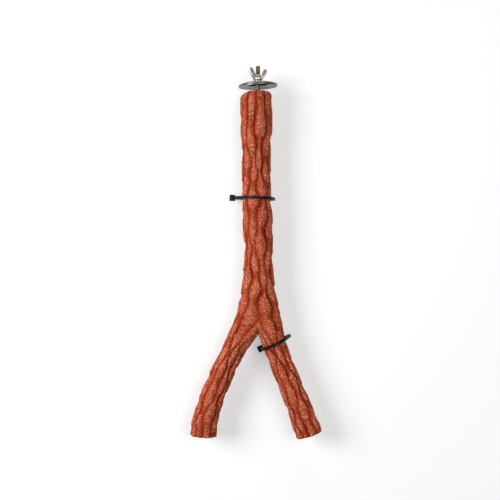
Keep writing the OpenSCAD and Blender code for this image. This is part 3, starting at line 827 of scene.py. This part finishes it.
def oval_section(half_w, half_t):
    """Rounded flat section in the plane across the wing's path."""
    rim = []
    for k in range(SECTION_POINTS):
        a = TAU * k / SECTION_POINTS
        c, s = math.cos(a), math.sin(a)
        rim.append((half_w * math.copysign(abs(c) ** WIDE_POWER, c),
                    half_t * math.copysign(abs(s) ** FLAT_POWER, s)))
    return rim


def spline(values, place):
    """Smooth value between the stations; whole places are the stations themselves."""
    i = min(int(place), len(values) - 2)
    w = place - i
    v = [np.asarray(values[min(max(0, i + k), len(values) - 1)], float) for k in (-1, 0, 1, 2)]
    return 0.5 * (2 * v[1] + (v[2] - v[0]) * w + (2 * v[0] - 5 * v[1] + 4 * v[2] - v[3]) * w * w
                  + (3 * v[1] - v[0] - 3 * v[2] + v[3]) * w ** 3)


def build_wing(side):
    places = [k / WING_STEPS for k in range((len(WING_PATH) - 1) * WING_STEPS + 1)]
    mids = [spline(WING_PATH, f) for f in places]
    points = []

    def add_ring(mid, ahead, half_w, half_t, push=0.0):
        across = np.array([-ahead[1], ahead[0]])
        for a, b in oval_section(half_w, half_t):
            p = mid + across * a + push
            points.append((side * p[0], b, p[1]))

    for k, f in enumerate(places):
        ahead = mids[min(k + 1, len(mids) - 1)] - mids[max(k - 1, 0)]
        ahead = ahead / np.linalg.norm(ahead)
        half_w, half_t = float(spline(WING_HALF_W, f)), float(spline(WING_HALF_T, f))
        add_ring(mids[k], ahead, half_w, half_t)
    for q in map(math.radians, TIP_ANGLES):
        c, s = math.cos(q), math.sin(q)
        add_ring(mids[-1], ahead, half_w * c, half_t * c, ahead * half_w * s * TIP_LENGTH)
    rings = len(points) // SECTION_POINTS
    faces = tube_faces(rings, SECTION_POINTS, False)
    faces += [tuple(k * SECTION_POINTS + i for i in range(SECTION_POINTS)) for k in (0, rings - 1)]
    piece = make_piece("wing", points, faces)
    face_out(piece)
    return piece


def build_wing_nut():
    e = HUB_EDGE
    hub = lathe("hub", [
        (0, 0), (NECK_D / 2, 0), (NECK_D / 2, NECK_H), (HUB_D / 2 - e * 1.4, NECK_H),
        (HUB_D / 2 - e * 0.4, NECK_H + e * 0.4), (HUB_D / 2, NECK_H + e * 1.4), (HUB_D / 2, HUB_FOOT_H),
        (HUB_WAIST_R, HUB_WAIST_H), (HUB_TOP_R, HUB_H - e), (HUB_TOP_R - e * 0.3, HUB_H - e * 0.3),
        (HUB_TOP_R - e, HUB_H), (0, HUB_H)], HUB_TURNS)
    face_out(hub)
    mesh = bpy.data.meshes.new("nut_blank")
    with edited(mesh) as bm:
        for part in (hub, build_wing(1), build_wing(-1)):
            bm.from_mesh(part.data)
            bpy.data.objects.remove(part)
    blank = link("nut_blank", mesh)
    remesh = blank.modifiers.new("skin", "REMESH")
    remesh.mode = "VOXEL"
    remesh.voxel_size = NUT_VOXEL
    remesh.use_smooth_shade = True
    soften = blank.modifiers.new("soften", "SMOOTH")
    soften.factor, soften.iterations = SOFTEN_SHARE, SOFTEN_TIMES
    bore_r, top = STUD_D / 2 + BORE_PLAY, HUB_H + BORE_OVER
    bore = lathe("bore", [(0, -BORE_OVER), (bore_r, -BORE_OVER), (bore_r, top), (0, top)], BORE_TURNS)
    face_out(bore)
    cut_away(blank, "drill", bore)
    nut = finished(blank, "wing_nut_casting")
    bpy.data.objects.remove(bore)
    # Painted shade on the neck, kept in the mesh for the zinc material.
    neck_top = (NECK_H + NECK_PAINTED_SHADE_RISE) * MM
    keep_values(nut, "shade_paint", [NECK_PAINTED_SHADE * (v.co.z < neck_top) for v in nut.data.vertices])
    turn = Matrix.Rotation(math.radians(WING_TURN), 4, "Z")
    place_mesh(nut, Matrix.Translation((0, 0, NUT_SEAT_Z * MM)) @ turn)
    nut.data.materials.clear()
    nut.data.materials.append(plate_material)
    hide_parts("wing_nut")
    return nut


# ---- ties ----------------------------------------------------------------------------------

STRAP_W, STRAP_T = 2.5, 1.1
STRAP_EDGE, STRAP_CORNER, LOOP_STEP = 0.22, STRAP_T * 1.1, 0.6
HEAD_W, HEAD_HIGH, HEAD_THICK, HEAD_EDGE = STRAP_W * 1.9, STRAP_W * 2.05, STRAP_T * 3, 0.5
SLOT_T, TAIL_W, TAIL_SHORT = STRAP_T * 1.2, STRAP_W * 0.86, 0.3
TOOTH_SINK = 0.02
UPPER_DEPTH, UPPER_SLOPE, UPPER_HEAD_X, UPPER_REACH = 88.1, 1.8, -20.4, 15.4
LOWER_DEPTH, LOWER_SLOPE, LOWER_HEAD_X, LOWER_REACH = CROTCH_DEPTH + 7.7, -6.3, -12.4, 15.2
LOWER_TIE_EASE = 0.5


def hull_outline(circles):
    """Closed outline round a set of circles, as points in order."""
    cloud = np.array([(x + r * math.cos(a), y + r * math.sin(a))
                      for x, y, r in circles for a in np.linspace(0, TAU, 97)[:-1]])
    order = np.lexsort((cloud[:, 1], cloud[:, 0]))
    pts = cloud[order]

    def half(points):
        out = []
        for p in points:
            while len(out) > 1 and np.cross(out[-1] - out[-2], p - out[-2]) <= 1e-12:
                out.pop()
            out.append(p)
        return out[:-1]

    return np.array(half(list(pts)) + half(list(pts[::-1])))


def even_loop(points, step):
    """The same loop with its points spaced evenly."""
    closed = np.vstack([points, points[:1]])
    far = np.concatenate([[0], np.cumsum(np.linalg.norm(np.diff(closed, axis=0), axis=1))])
    count = round(far[-1] / step)
    at = np.linspace(0, far[-1], count + 1)[:-1]
    return np.stack([np.interp(at, far, closed[:, k]) for k in (0, 1)], axis=1)


def tie_matrix(centre, slope):
    return Matrix.Translation(Vector(centre) * MM) @ Matrix.Rotation(math.radians(slope), 4, "Y")


def build_strap(name, girth, head_x, reach):
    """Flat strap with eased edges round the outline of the loop."""
    corner, mid = STRAP_CORNER, STRAP_T / 2
    loop = hull_outline([(0, 0, girth + mid), (reach - STRAP_T - corner, girth - corner, corner + mid),
                         (head_x + HEAD_W / 2, girth - corner, corner + mid)])
    loop = even_loop(loop, LOOP_STEP)
    ahead = np.roll(loop, -1, axis=0) - np.roll(loop, 1, axis=0)
    ahead = ahead / np.linalg.norm(ahead, axis=1)[:, None]
    out = np.stack([ahead[:, 1], -ahead[:, 0]], axis=1)
    half_w, half_t, e = STRAP_W / 2, STRAP_T / 2, STRAP_EDGE
    eased = [(0, e), (e * 0.3, e * 0.3), (e, 0)]
    section = []
    for a_way, b_way in ((1, 1), (-1, 1), (-1, -1), (1, -1)):
        for a, b in eased[::a_way * b_way]:
            section.append((a_way * (half_t - a), b_way * (half_w - b)))
    points = [(p[0] + o[0] * a, p[1] + o[1] * a, b) for p, o in zip(loop, out) for a, b in section]
    strap = make_piece(name, points, tube_faces(len(loop), len(section), True), smooth=False)
    face_out(strap)
    return strap, loop, out


def make_tooth_tree():
    """Cross bars set close together along a path, as on the gripping face of a tie's strap."""
    tree, t, given, out = new_geometry_tree("strap_teeth", [
        ("Spacing", "Float", 0.00085), ("Tooth Size", "Vector", (0.0017, 0.00016, 0.0004))])
    curve = t.add("GeometryNodeMeshToCurve", {0: given["Geometry"]})
    points = t.add("GeometryNodeCurveToPoints", {
        "Curve": curve.outputs[0], "Length": given["Spacing"]}, mode="LENGTH").outputs
    bar = t.add("GeometryNodeMeshCube", {"Size": given["Tooth Size"]})
    placed = t.add("GeometryNodeInstanceOnPoints", {
        "Points": points["Points"], "Instance": bar.outputs[0], "Rotation": points["Rotation"]})
    t.hand_out(t.real(placed.outputs[0]), given, out)
    return tree


def add_block(bm, size):
    """Puts a block of that size, in millimetres, round the origin."""
    verts = bmesh.ops.create_cube(bm, size=1.0)["verts"]
    bmesh.ops.scale(bm, verts=verts, vec=tuple(c * MM for c in size))
    return verts


def build_tie_head(name, girth, head_x):
    """Moulded head with eased edges and a slot for the strap, and the cut tail that stands out of it."""
    back, tail_out = girth + STRAP_T, SLOT_T - TAIL_SHORT
    mesh, slot_mesh = bpy.data.meshes.new(name), bpy.data.meshes.new("slot")
    with edited(mesh) as bm:
        add_block(bm, (HEAD_W, HEAD_THICK, HEAD_HIGH))
        bmesh.ops.bevel(bm, geom=list(bm.edges), offset=HEAD_EDGE * MM, segments=4, affect="EDGES",
                         profile=0.6)
    with edited(slot_mesh) as bm:
        add_block(bm, (SLOT_T, HEAD_THICK * 2, STRAP_W))
    head, cutter = link(name, mesh), link("slot", slot_mesh)
    cut_away(head, "slot", cutter)
    result = finished(head, name)
    bpy.data.objects.remove(cutter)
    with edited(result.data) as bm:
        tail = add_block(bm, (STRAP_T, HEAD_THICK + tail_out, TAIL_W))
        bmesh.ops.translate(bm, verts=tail, vec=(0, -tail_out / 2 * MM, 0))
    place_mesh(result, Matrix.Translation((head_x * MM, (back - HEAD_THICK / 2) * MM, 0)))
    return result


def build_tie(node, centre, slope, girth, head_x, reach, tooth_tree):
    strap, loop, out = build_strap(node + "_strap", girth, head_x, reach)
    inner = loop - out * (STRAP_T / 2 + TOOTH_SINK)
    line = make_piece("tooth_line", [(p[0], p[1], 0) for p in inner], [])
    line.data.edges.add(len(inner))
    line.data.edges.foreach_set("vertices", [v for k in range(len(inner)) for v in (k, (k + 1) % len(inner))])
    line.data.update()
    grow(line, tooth_tree, nylon_material)
    teeth = finished(line, node + "_teeth")
    head = build_tie_head(node + "_head", girth, head_x)
    turn = tie_matrix(centre, slope)
    for piece in (strap, teeth, head):
        place_mesh(piece, turn)
        piece.data.materials.clear()
        piece.data.materials.append(nylon_material)
    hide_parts(node)
    return strap, teeth, head


def leg_at(depth):
    """Where the right leg's middle line is at that depth, and how far it leans there."""
    line = leg_line(1)
    w = np.linspace(0, 1, 4001)
    at = float(np.interp(depth, -bezier(line, w)[:, 1], w))
    way = bezier_slope(line, at)
    return float(bezier(line, at)[0]), math.degrees(math.atan2(way[0], -way[1]))


# ---- assembly ------------------------------------------------------------------------------

def put(piece, body):
    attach(piece, body)


branch_piece, grain_piece = build_branch()
put(branch_piece, "branch")
put(grain_piece, "branch")
put(build_stud(), "branch")
put(build_washer("inner_dished_washer", "inner_washer", WIRE_GAP), "inner_washer")
put(build_washer("outer_dished_washer", "outer_washer", WIRE_GAP + WASHER_T + LOOSE_GAP),
    "outer_washer")
put(build_wing_nut(), "wing_nut")

tooth_tree = make_tooth_tree()
upper_share = UPPER_DEPTH / CROTCH_DEPTH
upper_girth = STEM_D / 2 * float(along(STEM_SHARES, upper_share)) + LOOSE_GAP
upper_x = TOP_OFFSET * float(along(LEAN_SHARES, upper_share))
for piece in build_tie("upper_tie", (upper_x, 0, -UPPER_DEPTH), UPPER_SLOPE, upper_girth,
                       UPPER_HEAD_X, UPPER_REACH, tooth_tree):
    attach(piece, "branch")
lower_girth = LEG_D / 2 + LOWER_TIE_EASE + LOOSE_GAP
lower_x, lean = leg_at(LOWER_DEPTH)
for piece in build_tie("lower_tie", (lower_x, 0, -LOWER_DEPTH), LOWER_SLOPE - lean, lower_girth,
                       LOWER_HEAD_X, LOWER_REACH, tooth_tree):
    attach(piece, "branch")


# ---- stage, light and camera ---------------------------------------------------------------

SHEET_HALF, SHEET_BACK, SHEET_GLOW, ROOM_LIGHT = 1500, 19, 0.45, 0.06
LAMP_TARGET = (0, 0, -0.13)
LAMPS = [("key", (-0.7, -0.62, -0.02), 0.5, 10.4), ("fill", (0.4, -0.95, -0.1), 0.6, 5.6),
         ("top", (0.05, -0.25, 0.9), 0.5, 2.8)]
# The view is 412.7 mm wide where the perch hangs.
SENSOR_W, VIEW_DISTANCE, VIEW_W = 36, 900, 412.7
VIEW_SPOT = (-0.0066, -VIEW_DISTANCE * MM, -0.1310)


def build_stage():
    """Pale sheet just behind the perch, which takes its shadow and can be looked through from behind."""
    sheet = make_piece("pale_sheet", [
        (x * SHEET_HALF, SHEET_BACK, z * SHEET_HALF) for x, z in ((-1, -1), (1, -1), (1, 1), (-1, 1))],
        [(0, 1, 2, 3)])
    material = bpy.data.materials.new("pale_sheet")
    material.use_nodes = True
    t = Tree(material.node_tree)
    material.node_tree.nodes.clear()
    matt = t.add("ShaderNodeBsdfDiffuse", {"Color": (0.9, 0.9, 0.9, 1)})
    glow = t.add("ShaderNodeEmission", {"Color": (1, 1, 1, 1), "Strength": 1.0})
    clear = t.add("ShaderNodeBsdfTransparent")
    rays = t.add("ShaderNodeLightPath").outputs
    seen = t.math("MAXIMUM", t.math("MAXIMUM", rays["Is Camera Ray"], rays["Is Glossy Ray"]),
                  rays["Is Transmission Ray"])
    lit = t.add("ShaderNodeMixShader", {
        0: t.times(seen, SHEET_GLOW), 1: matt.outputs[0], 2: glow.outputs[0]})
    both = t.add("ShaderNodeMixShader", {
        0: t.add("ShaderNodeNewGeometry").outputs["Backfacing"], 1: lit.outputs[0], 2: clear.outputs[0]})
    t.add("ShaderNodeOutputMaterial", {0: both.outputs[0]})
    sheet.data.materials.append(material)


def build_world():
    """White for the camera alone; a little soft light for everything else."""
    world = bpy.data.worlds.new("soft_room")
    world.use_nodes = True
    bpy.context.scene.world = world
    t = Tree(world.node_tree)
    world.node_tree.nodes.clear()
    room = t.add("ShaderNodeBackground", {"Color": (1, 1, 1, 1), "Strength": ROOM_LIGHT})
    white = t.add("ShaderNodeBackground", {"Color": (1, 1, 1, 1), "Strength": 1.0})
    mixed = t.add("ShaderNodeMixShader", {
        0: t.add("ShaderNodeLightPath").outputs["Is Camera Ray"], 1: room.outputs[0], 2: white.outputs[0]})
    t.add("ShaderNodeOutputWorld", {0: mixed.outputs[0]})


def add_lamp(name, spot, size, power):
    lamp = bpy.data.lights.new(name, "AREA")
    lamp.size = size
    lamp.energy = power
    holder = link(name, lamp)
    holder.location = spot
    holder.rotation_euler = (Vector(LAMP_TARGET) - Vector(spot)).to_track_quat("-Z", "Y").to_euler()


def build_camera():
    view = bpy.data.cameras.new("photo_view")
    view.sensor_width = SENSOR_W
    view.lens = SENSOR_W * VIEW_DISTANCE / VIEW_W
    holder = link("photo_view", view)
    holder.location = VIEW_SPOT
    holder.rotation_euler = (math.pi / 2, 0, 0)
    bpy.context.scene.camera = holder


build_stage()
build_world()
for lamp in LAMPS:
    add_lamp(*lamp)
build_camera()
bpy.context.scene.view_settings.view_transform = "Standard"
